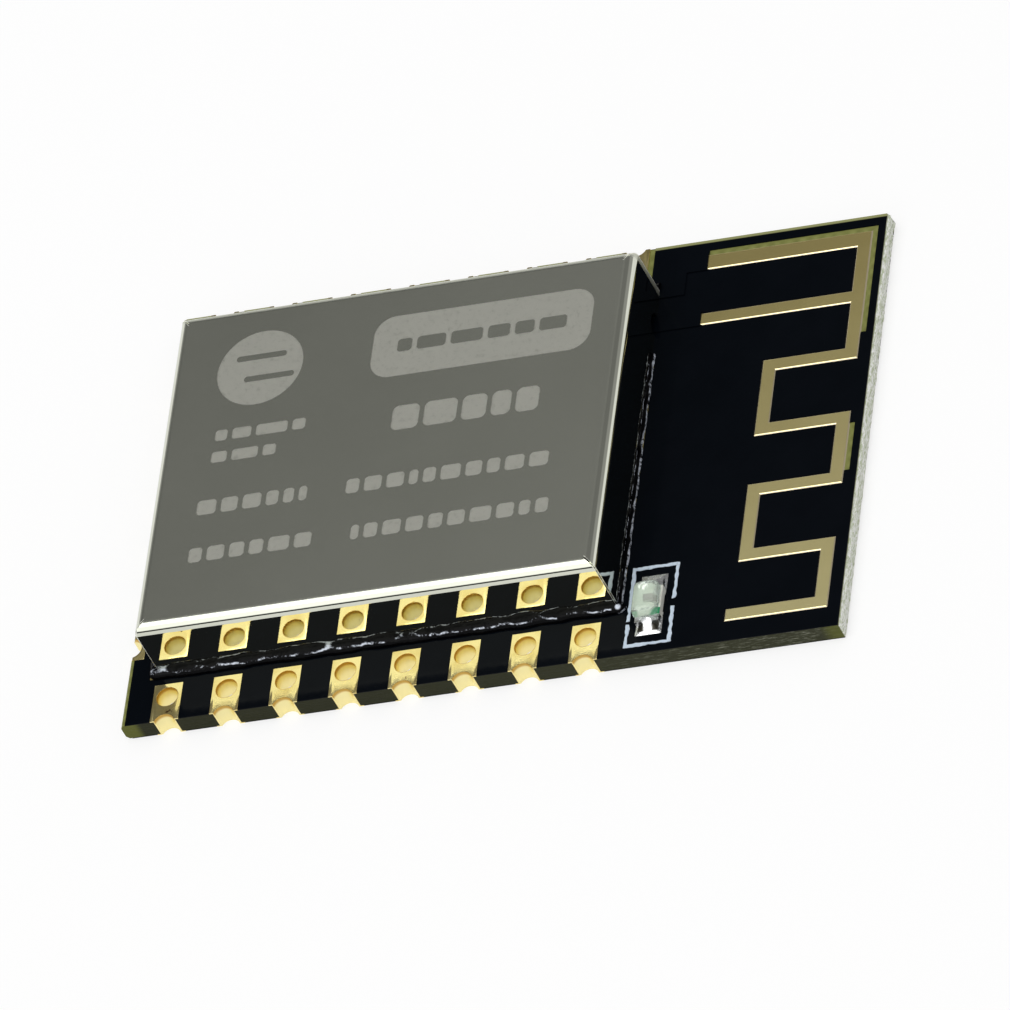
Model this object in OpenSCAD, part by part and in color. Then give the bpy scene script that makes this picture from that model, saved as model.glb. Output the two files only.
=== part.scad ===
// Castellated wireless module. A black two-layer board carries plated edge pads
// on three sides, a bare meander antenna at its free end, an indicator light and
// a folded shield can soldered over the radio parts. Lengths are in millimetres.
// The frame's origin is the middle of the board's underside. +X runs to the
// antenna end, +Y to the rear pad row and +Z up through the can.

/* [Board] */
// Length of the board, from the end pad row to the antenna end
board_l = 24; // [21.6:0.1:31]
// Width of the board, between the two long pad rows
board_w = 16; // [14.4:0.1:22]
// Thickness of the bare glass-epoxy laminate
core_t = 0.62; // [0.5:0.02:1.6]
// Thickness of the plated copper on each face
copper_t = 0.04; // [0.035:0.005:0.08]
// Thickness of the solder mask on each face
mask_t = 0.03; // [0.01:0.005:0.03]
// Width of the scored bevel along the two short ends
score_w = 0.09; // [0.04:0.01:0.2]
// Depth of the scored bevel below each face of the laminate
score_d = 0.11; // [0.05:0.01:0.2]
// Width of bare core that the mask leaves beside the bevel on the pad end
mask_back = 0.08; // [0:0.01:0.15]

/* [Edge pads] */
// Pads in the row on the short end
end_pads = 6; // [1:1:6]
// Distance between neighbouring pads
pitch = 2; // [1.6:0.01:2.54]
// Distance from the short end to the first pad of a long row
first_pad = 1.5; // [1.2:0.05:1.6]
// Width of each pad
pad_w = 0.95; // [0.9:0.01:1.1]
// Length of a long row's pad, inward from the board's edge
pad_l = 1.4; // [1.32:0.02:1.6]
// Length of an end pad, inward from the board's edge
end_pad_l = 0.5; // [0.46:0.02:0.7]
// Finished radius of the plated holes
hole_r = 0.36; // [0.25:0.01:0.38]
// Thickness of the plating on the hole walls
plating_t = 0.03; // [0.02:0.005:0.05]
// Distance from the edge to the middle of a pad's whole hole
hole_in = 0.9; // [0.85:0.01:0.9]
// Distance of a half hole's middle outside the long edges
half_hole_out = 0.14; // [0:0.01:0.18]
// Width of the bare strip that the mask leaves beside each rear pad
rear_bare_w = 0.18; // [0:0.01:0.3]

/* [Antenna] */
// Width of the antenna's track
track_w = 0.49; // [0.3:0.01:0.6]
// Width of the grounded bar at the rear
ground_bar_w = 0.6; // [0.4:0.01:0.8]
// How far the etched sides lean in from foot to top
etch_lean = 0.05; // [0.01:0.01:0.08]
// How far each gap between neighbouring bars differs from their mean, from front to rear
gap_trims = [-0.1, 0.18, 0, 0.16, -0.1, -0.14]; // [-0.2:0.01:0.2]
// Distance from the board's front edge to the first bar
antenna_front = 0.75; // [0.5:0.01:1]
// Distance from the board's rear edge to the grounded bar
antenna_rear = 0.58; // [0.4:0.01:1]
// Distance from the board's end to the outer side of the meander
antenna_edge = 0.5; // [0.3:0.05:0.7]
// Depth of the meander, from its outer to its inner side
meander_d = 3.2; // [2.4:0.05:3.4]
// How far the open tail runs inward past the meander
tail_extra = 0.22; // [0:0.02:0.4]
// Length of the feed and ground arms, from the meander's outer side
arm_l = 5.48; // [4.6:0.02:5.5]
// Width of the bare strips left where the mask window is wider than the track
bare_w = 0.17; // [0.05:0.01:0.25]
// Where the bare strip beside the rear leg ends, above the third bar
bare_stop = 0.54; // [0.3:0.02:1]

/* [Shield can] */
// Length of board kept free of the can at the antenna end
antenna_zone = 7.5; // [7.2:0.01:9]
// Height of the can above its land
can_h = 2.22; // [1.9:0.02:3]
// Thickness of the sheet
sheet_t = 0.15; // [0.1:0.01:0.2]
// Inner radius of the folds
fold_in_r = 0.05; // [0.02:0.01:0.2]
// Half of the slit where two folded walls meet
slit_half = 0.04; // [0.01:0.005:0.06]
// Radius of the opening in the wall's foot over the antenna feed
feed_arch_r = 0.4; // [0.35:0.01:0.6]
// How far the grounding land runs under and inside the can's wall
land_in = 0.4; // [0.3:0.01:0.5]

/* [Solder bead] */
// Width of the bead along the long rows and the short pad end
bead_w = 0.25; // [0.15:0.01:0.28]
// Width of the bead on the antenna side
bead_side_w = 0.12; // [0.08:0.01:0.2]
// Height of the bead up the wall
bead_h = 0.2; // [0.1:0.01:0.35]
// Share by which the bead swells and shrinks along its run
bead_wave = 0.2; // [0:0.01:0.25]
// Clear board between the front pads and the bead
front_clear = 0.25; // [0.15:0.01:0.5]
// Clear board between the rear pads and the bead
rear_clear = 0.1; // [0.1:0.01:0.5]
// Clear board between the end pads and the bead
end_clear = 0.32; // [0.15:0.01:0.5]
// Distance on the antenna side from the feed track to the end of the bead
bead_stop = 1.15; // [0.8:0.05:2]

/* [Indicator light] */
// Distance from the can's wall to the middle of the light
led_off = 1.1; // [0.95:0.01:1.2]
// Distance from the board's front edge to the middle of the light
led_y = 1.79; // [1.7:0.01:2.5]
// Width of the light's base
led_w = 0.8; // [0.6:0.01:0.9]
// Length of the light's base over its terminals
led_l = 1.6; // [1.4:0.01:1.7]
// Height of the light's base
led_base_h = 0.24; // [0.15:0.01:0.4]
// Height of the moulded lens above the base
led_lens_h = 0.36; // [0.2:0.01:0.6]
// Length of the lens at its foot
led_lens_l = 1.22; // [1:0.01:1.3]
// Length of each wrapped terminal
led_terminal_l = 0.25; // [0.18:0.01:0.3]
// Radius of the half-round notch in each terminal
led_notch_r = 0.16; // [0.08:0.01:0.17]
// Length of each land under the light
led_land_l = 0.8; // [0.6:0.01:0.85]
// Length of land left for the solder in front of each terminal
led_toe = 0.34; // [0.2:0.01:0.4]

/* [Printed bracket] */
// Length of the bracket printed around the light
bracket_l = 3.07; // [2.9:0.01:3.4]
// Width of the bracket
bracket_w = 1.55; // [1.3:0.01:1.6]
// Width of the printed line
stroke_w = 0.1; // [0.06:0.01:0.15]
// Thickness of the printed ink
ink_t = 0.02; // [0.01:0.005:0.03]
// Length of the gap in the line on the antenna side
outer_gap = 0.41; // [0.2:0.01:1]
// Length of the gap in the line on the can side
inner_gap = 1.44; // [0.4:0.01:1.8]

/* [Radio parts] */
// Side of the radio chip's square body
radio_w = 5; // [4:0.1:5.2]
// Height of the radio chip
radio_h = 0.85; // [0.6:0.05:1]
// Terminals on each side of the radio chip
radio_leads = 8; // [4:1:8]
// Distance between the radio chip's terminals
radio_pitch = 0.5; // [0.4:0.01:0.5]
// Distance from the can's antenna wall to the middle of the radio chip
radio_off = 3.3; // [3.3:0.05:4.5]
// Distance from the can's middle line to the middle of the radio chip
radio_rise = 0.4; // [0:0.05:0.6]
// Length of the memory chip's body
memory_l = 4.9; // [4:0.1:5.2]
// Width of the memory chip's body
memory_w = 3.9; // [3:0.1:4]
// Height of the memory chip's body
memory_h = 1.35; // [1:0.05:1.4]
// Gap under the memory chip's body
memory_lift = 0.1; // [0.05:0.01:0.15]
// Width over the memory chip's lead tips
memory_span = 6; // [5.6:0.1:6.2]
// Distance from the can's end wall to the middle of the memory chip
memory_off = 3.8; // [3.8:0.05:4.2]
// Length of the crystal's case
crystal_l = 3.2; // [2.5:0.1:3.3]
// Width of the crystal's case
crystal_w = 2.5; // [2:0.1:2.5]
// Gap between the radio chip and the crystal
crystal_gap = 0.45; // [0.4:0.01:0.6]
// Length of the small two-terminal parts
chip_l = 1; // [0.9:0.01:1.1]
// Width of the small two-terminal parts
chip_w = 0.5; // [0.4:0.01:0.55]
// Length of each terminal of the small parts
chip_end_l = 0.25; // [0.15:0.01:0.3]

/* [Hidden] */

$fn = 48;
eps = 0.01;

// Heights of the layers
core_z = copper_t;
core_top = core_z + core_t;
land_top = core_top + copper_t;
mask_top = core_top + mask_t;

// The can's outline on the board, measured from the board's front left corner
can_x0 = end_pad_l + end_clear + bead_w;
can_x1 = board_l - antenna_zone;
can_y0 = pad_l + front_clear + bead_w;
can_y1 = board_w - pad_l - rear_clear - bead_w;
can_l = can_x1 - can_x0;
can_w = can_y1 - can_y0;
can_mid = (can_y0 + can_y1) / 2;
fold_r = fold_in_r + sheet_t;

// Each long row has as many pads as lie beside the can
side_pads = floor((can_x1 - first_pad - pad_w / 2) / pitch) + 1;

// The antenna's sides and the front side of each bar
antenna_x1 = board_l - antenna_edge;
meander_x0 = antenna_x1 - meander_d;
tail_x0 = meander_x0 - tail_extra;
arm_x0 = antenna_x1 - arm_l;
bars = len(gap_trims) + 1;
bars_w = (bars - 1) * track_w + ground_bar_w;
mean_gap = (board_w - antenna_front - antenna_rear - bars_w) / (bars - 1);
function sum(list, count) = count == 0 ? 0 : list[count - 1] + sum(list, count - 1);
function bar_y(i) = antenna_front + i * (track_w + mean_gap) + sum(gap_trims, i);
function bar_w(i) = i == bars - 1 ? ground_bar_w : track_w;
feed_y = bar_y(bars - 2) + track_w / 2;
bead_end_y = feed_y - bead_stop;

// Lands of the small parts reach this far past the part at each end
chip_toe = 0.2;
chip_land_l = chip_end_l + chip_toe + 0.05;
chip_land_w = chip_w + 0.08;
chip_skin = 0.02;
chip_fillet_h = 0.25;

// Places of the parts under the can
small_gap = 0.35;
radio_x = can_x1 - radio_off;
radio_y = can_mid + radio_rise;
memory_x = can_x0 + memory_off;
crystal_y = radio_y - radio_w / 2 - crystal_gap - crystal_w / 2;
crystal_drop = crystal_y - can_mid;
supply_rise = radio_rise + radio_w / 2 + small_gap + chip_toe + chip_l / 2;
supply_places = [1.5, 0.5, -0.6];
crystal_cap_off = crystal_l / 2 + small_gap + chip_w / 2;
feed_gap = 0.42;
feed_rise = feed_y - can_mid;
pull_up_drop = -memory_l / 2 - 1.1;
pull_up_off = 1;

// Terminals of the radio chip and leads of the memory chip
radio_lead_w = 0.24;
radio_lead_l = 0.4;
radio_lead_t = 0.2;
radio_toe = 0.2;
radio_paddle = radio_w - 1.5;
dimple_r = 0.2;
dimple_d = 0.03;
memory_leads = 4;
memory_pitch = 1.27;
memory_lead_w = 0.42;
memory_lead_t = 0.18;
memory_foot = 0.62;
memory_heel = 0.15;
memory_toe = 0.2;
memory_land_w = 0.6;
memory_fillet_l = 0.18;
memory_draft = 0.1;
crystal_base_h = 0.45;
crystal_lid_h = 0.25;
crystal_lid_in = 0.12;
crystal_land = [1.1, 0.9];

led_x = can_x1 + led_off;
led_land_w = led_w + 0.05;
led_die_w = 0.24;
led_die_h = 0.1;
led_mark_l = 0.24;
led_lens_lean = 0.07;
led_lens_shoulder = 0.8;
led_lens_r = 0.08;

SIDE_NODES = [
    for (i = [1:side_pads]) str("pad_front_", i),
    for (i = [1:side_pads]) str("pad_rear_", i),
    for (i = [1:end_pads]) str("pad_end_", i)
];

// Small parts under the can: name, place in X from the can's antenna wall,
// place in Y from the can's middle line, turn, height and colour.
CERAMIC = "burlywood";
cap_h = 0.5;
resistor_h = 0.35;
SMALL_PARTS = [
    ["crystal_cap_1", radio_off + crystal_cap_off, crystal_drop, 90, cap_h, CERAMIC],
    ["crystal_cap_2", radio_off - crystal_cap_off, crystal_drop, 90, cap_h, CERAMIC],
    ["supply_cap_1", radio_off + supply_places[0], supply_rise, 90, cap_h, CERAMIC],
    ["supply_cap_2", radio_off + supply_places[1], supply_rise, 90, cap_h, CERAMIC],
    ["match_cap", radio_off + supply_places[2], supply_rise, 90, cap_h, CERAMIC],
    ["match_inductor", land_in + feed_gap + chip_toe + chip_l / 2, feed_rise, 0, cap_h, "lightsteelblue"],
    ["pull_up_1", can_l - memory_off + pull_up_off, pull_up_drop, 0, resistor_h, "dimgray"],
    ["pull_up_2", can_l - memory_off - pull_up_off, pull_up_drop, 0, resistor_h, "dimgray"]
];

// Moves from the corner frame, in which the parts are laid out, to the part's frame
module on_board() {
    translate([-board_l / 2, -board_w / 2, 0]) children();
}

module front_row(i) {
    translate([first_pad + i * pitch, 0, 0]) children();
}

module rear_row(i) {
    translate([first_pad + i * pitch, board_w, 0]) mirror([0, 1, 0]) children();
}

module end_row(i) {
    translate([0, board_w / 2 + (i - (end_pads - 1) / 2) * pitch, 0]) rotate(-90) children();
}

module all_side_pads() {
    for (i = [0:side_pads - 1]) {
        front_row(i) children();
        rear_row(i) children();
    }
}

module all_end_pads() {
    for (i = [0:end_pads - 1]) end_row(i) children();
}

// The board's full thickness with the scored bevels along both short ends
module board_envelope() {
    end = [
        [score_w, 0],
        [score_w, core_z],
        [0, core_z + score_d],
        [0, core_top - score_d],
        [score_w, core_top],
        [score_w, land_top]
    ];
    far_end = [for (i = [len(end) - 1:-1:0]) [board_l - end[i][0], end[i][1]]];
    translate([0, board_w, 0]) rotate([90, 0, 0])
        linear_extrude(board_w) polygon(concat(end, far_end));
}

module drills(r) {
    all_side_pads() {
        translate([0, hole_in, -eps]) cylinder(r = r, h = land_top + 2 * eps);
        translate([0, -half_hole_out, -eps]) cylinder(r = r, h = land_top + 2 * eps);
    }
    all_end_pads() translate([0, 0, -eps]) cylinder(r = r, h = land_top + 2 * eps);
}

module substrate() {
    color("darkolivegreen") on_board() difference() {
        intersection() {
            board_envelope();
            translate([0, 0, core_z]) cube([board_l, board_w, core_t]);
        }
        drills(hole_r + plating_t);
    }
}

module pad_outline(length) {
    translate([-pad_w / 2, 0]) square([pad_w, length]);
}

// One plated pad: a land on each face, joined by the plating in its holes
module plated_pad(length, holes) {
    difference() {
        union() {
            linear_extrude(copper_t) pad_outline(length);
            translate([0, 0, core_top]) linear_extrude(copper_t) pad_outline(length);
            intersection() {
                linear_extrude(land_top) pad_outline(length);
                for (y = holes) translate([0, y, 0]) cylinder(r = hole_r + plating_t, h = land_top);
            }
        }
        for (y = holes) translate([0, y, -eps]) cylinder(r = hole_r, h = land_top + 2 * eps);
    }
}

module side_pad() {
    plated_pad(pad_l, [-half_hole_out, hole_in]);
}

module pad_front(i) {
    color("gold") on_board() front_row(i) side_pad();
}

module pad_rear(i) {
    color("gold") on_board() rear_row(i) side_pad();
}

module pad_end(i) {
    color("gold") on_board() intersection() {
        end_row(i) plated_pad(end_pad_l, [0]);
        board_envelope();
    }
}

module pad_outlines() {
    all_side_pads() pad_outline(pad_l);
    all_end_pads() pad_outline(end_pad_l);
}

// The mask stops at the scored bevel on the antenna end and short of it on the pad end
module mask_sheet() {
    start = score_w + mask_back;
    translate([start, 0]) square([board_l - score_w - start, board_w]);
}

module box_between(a, b) {
    translate([min(a[0], b[0]), min(a[1], b[1])])
        square([abs(a[0] - b[0]), abs(a[1] - b[1])]);
}

// The bare antenna's rectangles: seven bars, the legs between them and the long rear leg
bar_starts = [tail_x0, meander_x0, meander_x0, meander_x0, meander_x0, arm_x0, arm_x0];
bare_bars = [
    for (i = [0:bars - 1])
        [[bar_starts[i], bar_y(i)], [antenna_x1, bar_y(i) + bar_w(i)]]
];
legs = [
    for (i = [0:bars - 2])
        let (x = i % 2 == 1 && i < bars - 2 ? meander_x0 : antenna_x1 - track_w)
            [[x, bar_y(i)], [x + track_w, bar_y(i + 1) + bar_w(i + 1)]]
];

// The mask window is wider than the track along the rear bar and two outer legs
bare_strips = [
    [[arm_x0, bar_y(bars - 1)], [antenna_x1 + bare_w, bar_y(bars - 1) + ground_bar_w + bare_w]],
    [[antenna_x1, bar_y(4) + track_w + bare_stop], [antenna_x1 + bare_w, bar_y(bars - 1) + ground_bar_w]],
    [[antenna_x1, bar_y(2) + track_w], [antenna_x1 + bare_w, bar_y(3)]]
];

// Covered leads from the arms: the feed to its matching part, the ground to the can's land
ground_lead_w = 0.3;
ground_lead_run = 1;
ground_lead_x = arm_x0 - ground_lead_run;
ground_lead_x1 = ground_lead_x + ground_lead_w;
feed_lead_x0 = can_x1 - land_in - feed_gap;
covered_leads = [
    [[feed_lead_x0, bar_y(bars - 2)], [arm_x0, bar_y(bars - 2) + track_w]],
    [[ground_lead_x, bar_y(bars - 1)], [arm_x0, bar_y(bars - 1) + ground_bar_w]],
    [[ground_lead_x, can_y1 - ground_lead_w], [ground_lead_x1, bar_y(bars - 1) + ground_bar_w]],
    [[can_x1, can_y1 - ground_lead_w], [ground_lead_x1, can_y1]]
];

module rectangles(list, grow = 0) {
    for (r = list) box_between([r[0][0] - grow, r[0][1] - grow], [r[1][0] + grow, r[1][1] + grow]);
}

// Section of etched copper from a to b, narrower at its top than at its foot
function etched_section(a, b) =
    [[a, 0], [b, 0], [b - etch_lean, copper_t], [a + etch_lean, copper_t]];

module etched(r) {
    intersection() {
        translate([r[0][0], 0, 0]) rotate([90, 0, 90])
            linear_extrude(r[1][0] - r[0][0]) polygon(etched_section(r[0][1], r[1][1]));
        translate([0, r[1][1], 0]) rotate([90, 0, 0])
            linear_extrude(r[1][1] - r[0][1]) polygon(etched_section(r[0][0], r[1][0]));
    }
}

// The two arms run on under the mask, where the covered leads take over
module antenna_track() {
    arm_overlap = 2 * etch_lean;
    color("goldenrod") on_board() translate([0, 0, core_top]) {
        for (i = [0:bars - 1])
            etched([bare_bars[i][0] - [i < bars - 2 ? 0 : arm_overlap, 0], bare_bars[i][1]]);
        for (r = legs) etched(r);
        linear_extrude(copper_t) rectangles(covered_leads);
    }
}

// The land lies under the wall and inside it, and outside it only where solder is laid
module ring_outline() {
    difference() {
        union() {
            translate([can_x0 - bead_w, can_y0 - bead_w])
                square([can_l + bead_w, can_w + 2 * bead_w]);
            translate([can_x1 - eps, can_y0 - bead_w])
                square([bead_side_w + eps, bead_end_y - can_y0 + bead_w]);
        }
        translate([can_x0 + land_in, can_y0 + land_in])
            square([can_l - 2 * land_in, can_w - 2 * land_in]);
        translate([can_x1 - land_in - eps, feed_y - feed_arch_r])
            square([land_in + 2 * eps, 2 * feed_arch_r]);
    }
}

module shield_land() {
    color("goldenrod") on_board() translate([0, 0, core_top]) linear_extrude(copper_t) ring_outline();
}

// The windows that show copper or bare laminate through the top mask
module top_windows() {
    pad_outlines();
    for (i = [0:side_pads - 1]) rear_row(i) translate([pad_w / 2, 0]) square([rear_bare_w, pad_l]);
    rectangles(concat(bare_bars, legs, bare_strips));
    ring_outline();
    led_land_outlines();
    inner_land_outlines();
}

module solder_mask_top() {
    color([0.05, 0.05, 0.07]) on_board() translate([0, 0, core_top]) difference() {
        union() {
            linear_extrude(mask_t) mask_sheet();
            linear_extrude(copper_t + mask_t) rectangles(covered_leads, mask_t);
        }
        translate([0, 0, -eps]) linear_extrude(copper_t + eps) rectangles(covered_leads);
        translate([0, 0, -eps]) linear_extrude(copper_t + mask_t + 2 * eps) top_windows();
    }
}

module solder_mask_bottom() {
    color([0.05, 0.05, 0.07]) on_board() translate([0, 0, core_z - mask_t])
        linear_extrude(mask_t) difference() {
            mask_sheet();
            pad_outlines();
        }
}

// Section through one folded side: the wall, the fold and a lip of the top
module side_profile() {
    square([sheet_t, can_h - fold_r]);
    translate([fold_r, can_h - fold_r]) intersection() {
        difference() {
            circle(r = fold_r);
            circle(r = fold_in_r);
        }
        translate([-fold_r, 0]) square(fold_r);
    }
    translate([fold_r, can_h - sheet_t]) square(sheet_t);
}

// One folded side along +X, mitred at both ends with half a slit
module folded_side(length) {
    depth = fold_r + sheet_t;
    intersection() {
        rotate([90, 0, 90]) linear_extrude(length) side_profile();
        linear_extrude(can_h) polygon([
            [slit_half, 0],
            [length - slit_half, 0],
            [length - slit_half - depth, depth],
            [slit_half + depth, depth]
        ]);
    }
}

module shield_can() {
    color("silver") on_board() translate([0, 0, land_top]) difference() {
        union() {
            translate([can_x0 + fold_r, can_y0 + fold_r, can_h - sheet_t])
                cube([can_l - 2 * fold_r, can_w - 2 * fold_r, sheet_t]);
            translate([can_x0, can_y0, 0]) folded_side(can_l);
            translate([can_x1, can_y1, 0]) rotate(180) folded_side(can_l);
            translate([can_x1, can_y0, 0]) rotate(90) folded_side(can_w);
            translate([can_x0, can_y1, 0]) rotate(-90) folded_side(can_w);
        }
        translate([can_x1 - sheet_t - eps, feed_y, 0]) rotate([0, 90, 0])
            cylinder(r = feed_arch_r, h = sheet_t + 2 * eps);
    }
}

// The bead's stations run round the wall's foot: from the antenna side's stop to the
// front corner, along the front, the short end and the rear. Each station holds a
// point on the wall, the outward angle and the bead's width there.
station_step = 0.5;
fan_steps = 4;
function run(a, b, angle, w) =
    let (n = ceil(norm(b - a) / station_step))
        [for (i = [0:n]) [a + (b - a) * i / n, angle, w]];
function fan(corner, angle, w0, w1) =
    [for (i = [1:fan_steps - 1])
        [corner, angle - 90 * i / fan_steps, w0 + (w1 - w0) * i / fan_steps]];
stations = concat(
    run([can_x1, bead_end_y], [can_x1, can_y0], 0, bead_side_w),
    fan([can_x1, can_y0], 0, bead_side_w, bead_w),
    run([can_x1, can_y0], [can_x0, can_y0], -90, bead_w),
    fan([can_x0, can_y0], -90, bead_w, bead_w),
    run([can_x0, can_y0], [can_x0, can_y1], -180, bead_w),
    fan([can_x0, can_y1], -180, bead_w, bead_w),
    run([can_x0, can_y1], [can_x1, can_y1], -270, bead_w)
);

// Swelling of the bead at a point of the wall, from three waves that don't repeat together
function swell(p) =
    1 + bead_wave * (0.5 * sin(290 * p[0] + 170 * p[1]) + 0.35 * sin(610 * p[0] - 430 * p[1])
        + 0.15 * sin(1130 * p[0] + 910 * p[1]));
arc_steps = 4;

// Points of a station: foot of the wall, then the arc from the bead's toe up to the wall
function section(s) =
    let (size = swell(s[0]), out = [cos(s[1]), sin(s[1])])
        concat([[s[0][0], s[0][1], 0]],
            [for (k = [0:arc_steps])
                let (p = s[0] + out * s[2] * size * cos(90 * k / arc_steps))
                    [p[0], p[1], bead_h * size * sin(90 * k / arc_steps)]]);

module shield_solder() {
    ring = arc_steps + 2;
    last = len(stations) - 1;
    points = [for (s = stations) each section(s)];
    skin = [
        for (j = [0:last - 1], k = [0:ring - 1])
            let (a = j * ring + k, b = j * ring + (k + 1) % ring, c = b + ring, d = a + ring)
                each [[a, b, c], [a, c, d]]
    ];
    caps = [
        [for (k = [ring - 1:-1:0]) k],
        [for (k = [0:ring - 1]) last * ring + k]
    ];
    color("dimgray") on_board() translate([0, 0, land_top])
        polyhedron(points, concat(skin, caps));
}

module led_land_outlines() {
    translate([led_x, led_y]) for (side = [-1, 1]) scale([1, side])
        translate([-led_land_w / 2, led_l / 2 + led_toe - led_land_l]) square([led_land_w, led_land_l]);
}

module led_lands() {
    color("gold") on_board() translate([0, 0, core_top]) linear_extrude(copper_t) led_land_outlines();
}

module led_terminals() {
    color("silver") on_board() translate([0, 0, land_top]) for (side = [0, 1])
        translate([led_x, led_y, 0]) rotate(180 * side) difference() {
            translate([-led_w / 2, led_l / 2 - led_terminal_l, 0])
                cube([led_w, led_terminal_l, led_base_h]);
            translate([0, led_l / 2, -eps]) cylinder(r = led_notch_r, h = led_base_h + 2 * eps);
        }
}

module led_base() {
    length = led_l - 2 * led_terminal_l;
    color("ivory") on_board() translate([led_x - led_w / 2, led_y - length / 2, land_top])
        cube([led_w, length, led_base_h - ink_t]);
}

// A green band printed on the base marks the cathode end, under the lens's edge
module led_mark() {
    length = led_l - 2 * led_terminal_l;
    color("mediumseagreen") on_board()
        translate([led_x - led_w / 2, led_y - length / 2, land_top + led_base_h - ink_t])
            cube([led_w, led_mark_l, ink_t]);
}

module led_die() {
    color("lightyellow") on_board()
        translate([led_x - led_die_w / 2, led_y - led_die_w / 2, land_top + led_base_h - ink_t])
            cube([led_die_w, led_die_w, led_die_h]);
}

module rounded_outline(w, l, r) {
    hull() for (x = [-1, 1], y = [-1, 1])
        translate([x * (w / 2 - r), y * (l / 2 - r)]) circle(r = r, $fn = 24);
}

module led_lens() {
    foot = land_top + led_base_h;
    color("honeydew") on_board() translate([led_x, led_y, foot]) difference() {
        hull() {
            linear_extrude(eps) rounded_outline(led_w, led_lens_l, led_lens_r);
            translate([0, 0, led_lens_h * led_lens_shoulder]) linear_extrude(eps)
                rounded_outline(led_w - led_lens_lean, led_lens_l - led_lens_lean, led_lens_r);
            translate([0, 0, led_lens_h - eps]) linear_extrude(eps)
                rounded_outline(led_w - 3 * led_lens_lean, led_lens_l - 3 * led_lens_lean, led_lens_r);
        }
        translate([-led_die_w / 2, -led_die_w / 2, -eps])
            cube([led_die_w, led_die_w, led_die_h - ink_t + eps]);
    }
}

// A concave wedge of solder, rising to the height h over the length l along +X
fillet_steps = 4;
module fillet(l, h, w) {
    hollow = [
        for (k = [0:fillet_steps])
            let (a = 90 * k / fillet_steps) [l * (1 - sin(a)), h * (1 - cos(a))]
    ];
    rotate([90, 0, 0]) linear_extrude(w, center = true) polygon(concat([[0, 0]], hollow));
}

module led_solder() {
    color("silver") on_board() translate([led_x, led_y, land_top]) for (side = [0, 1])
        rotate(180 * side) {
            translate([0, led_l / 2, 0]) rotate(90) fillet(led_toe, led_base_h, led_w);
            intersection() {
                translate([0, led_l / 2, 0]) cylinder(r = led_notch_r, h = led_base_h, $fn = 12);
                translate([-led_w, 0, 0]) cube([2 * led_w, led_l / 2, led_base_h]);
            }
        }
}

module printed_bracket() {
    color("white") on_board() translate([led_x, led_y, mask_top]) linear_extrude(ink_t) difference() {
        square([bracket_w, bracket_l], center = true);
        square([bracket_w - 2 * stroke_w, bracket_l - 2 * stroke_w], center = true);
        translate([bracket_w / 2 - 2 * stroke_w, -outer_gap / 2]) square([3 * stroke_w, outer_gap]);
        translate([-bracket_w / 2 - stroke_w, -inner_gap / 2]) square([3 * stroke_w, inner_gap]);
    }
}

// The radio chip's terminals, repeated on its four sides
module radio_sides() {
    translate([radio_x, radio_y]) for (side = [0:3], i = [0:radio_leads - 1])
        rotate(90 * side) translate([(i - (radio_leads - 1) / 2) * radio_pitch, -radio_w / 2, 0])
            children();
}

module radio_metal() {
    radio_sides() translate([-radio_lead_w / 2, 0, 0]) cube([radio_lead_w, radio_lead_l, radio_lead_t]);
    translate([radio_x - radio_paddle / 2, radio_y - radio_paddle / 2, 0])
        cube([radio_paddle, radio_paddle, radio_lead_t]);
}

module radio_chip_leads() {
    color("silver") on_board() translate([0, 0, land_top]) radio_metal();
}

module radio_chip() {
    mark = radio_w / 2 - 3 * dimple_r;
    color("dimgray") on_board() translate([0, 0, land_top]) difference() {
        translate([radio_x - radio_w / 2, radio_y - radio_w / 2, 0]) cube([radio_w, radio_w, radio_h]);
        radio_metal();
        translate([radio_x - mark, radio_y - mark, radio_h - dimple_d])
            cylinder(r = dimple_r, h = dimple_d + eps);
    }
}

// The memory chip's leads, four on each long side
module memory_sides() {
    translate([memory_x, can_mid]) for (side = [0, 1], i = [0:memory_leads - 1])
        rotate(180 * side) translate([0, (i - (memory_leads - 1) / 2) * memory_pitch, 0]) children();
}

module memory_chip() {
    middle = memory_h / 2;
    color("dimgray") on_board() translate([memory_x, can_mid, land_top + memory_lift]) hull() {
        linear_extrude(memory_h)
            square([memory_w - 2 * memory_draft, memory_l - 2 * memory_draft], center = true);
        translate([0, 0, middle - memory_lead_t / 2]) linear_extrude(memory_lead_t)
            square([memory_w, memory_l], center = true);
    }
}

module memory_chip_leads() {
    shoulder = memory_lift + memory_h / 2 - memory_lead_t / 2;
    bend = memory_span / 2 - memory_foot;
    color("silver") on_board() translate([0, 0, land_top]) memory_sides()
        rotate([90, 0, 0]) linear_extrude(memory_lead_w, center = true) {
            translate([bend, 0]) square([memory_foot, memory_lead_t]);
            translate([bend, 0]) square([memory_lead_t, shoulder + memory_lead_t]);
            translate([memory_w / 2, shoulder])
                square([bend - memory_w / 2 + memory_lead_t, memory_lead_t]);
        }
}

module crystal_base() {
    color("tan") on_board() translate([radio_x, crystal_y, land_top]) linear_extrude(crystal_base_h)
        square([crystal_l, crystal_w], center = true);
}

module crystal_lid() {
    color("silver") on_board() translate([radio_x, crystal_y, land_top + crystal_base_h])
        linear_extrude(crystal_lid_h)
            square([crystal_l - 2 * crystal_lid_in, crystal_w - 2 * crystal_lid_in], center = true);
}

module crystal_corners() {
    translate([radio_x, crystal_y]) for (x = [-1, 1], y = [-1, 1])
        translate([x * (crystal_l - crystal_land[0]) / 2, y * (crystal_w - crystal_land[1]) / 2])
            children();
}

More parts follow.
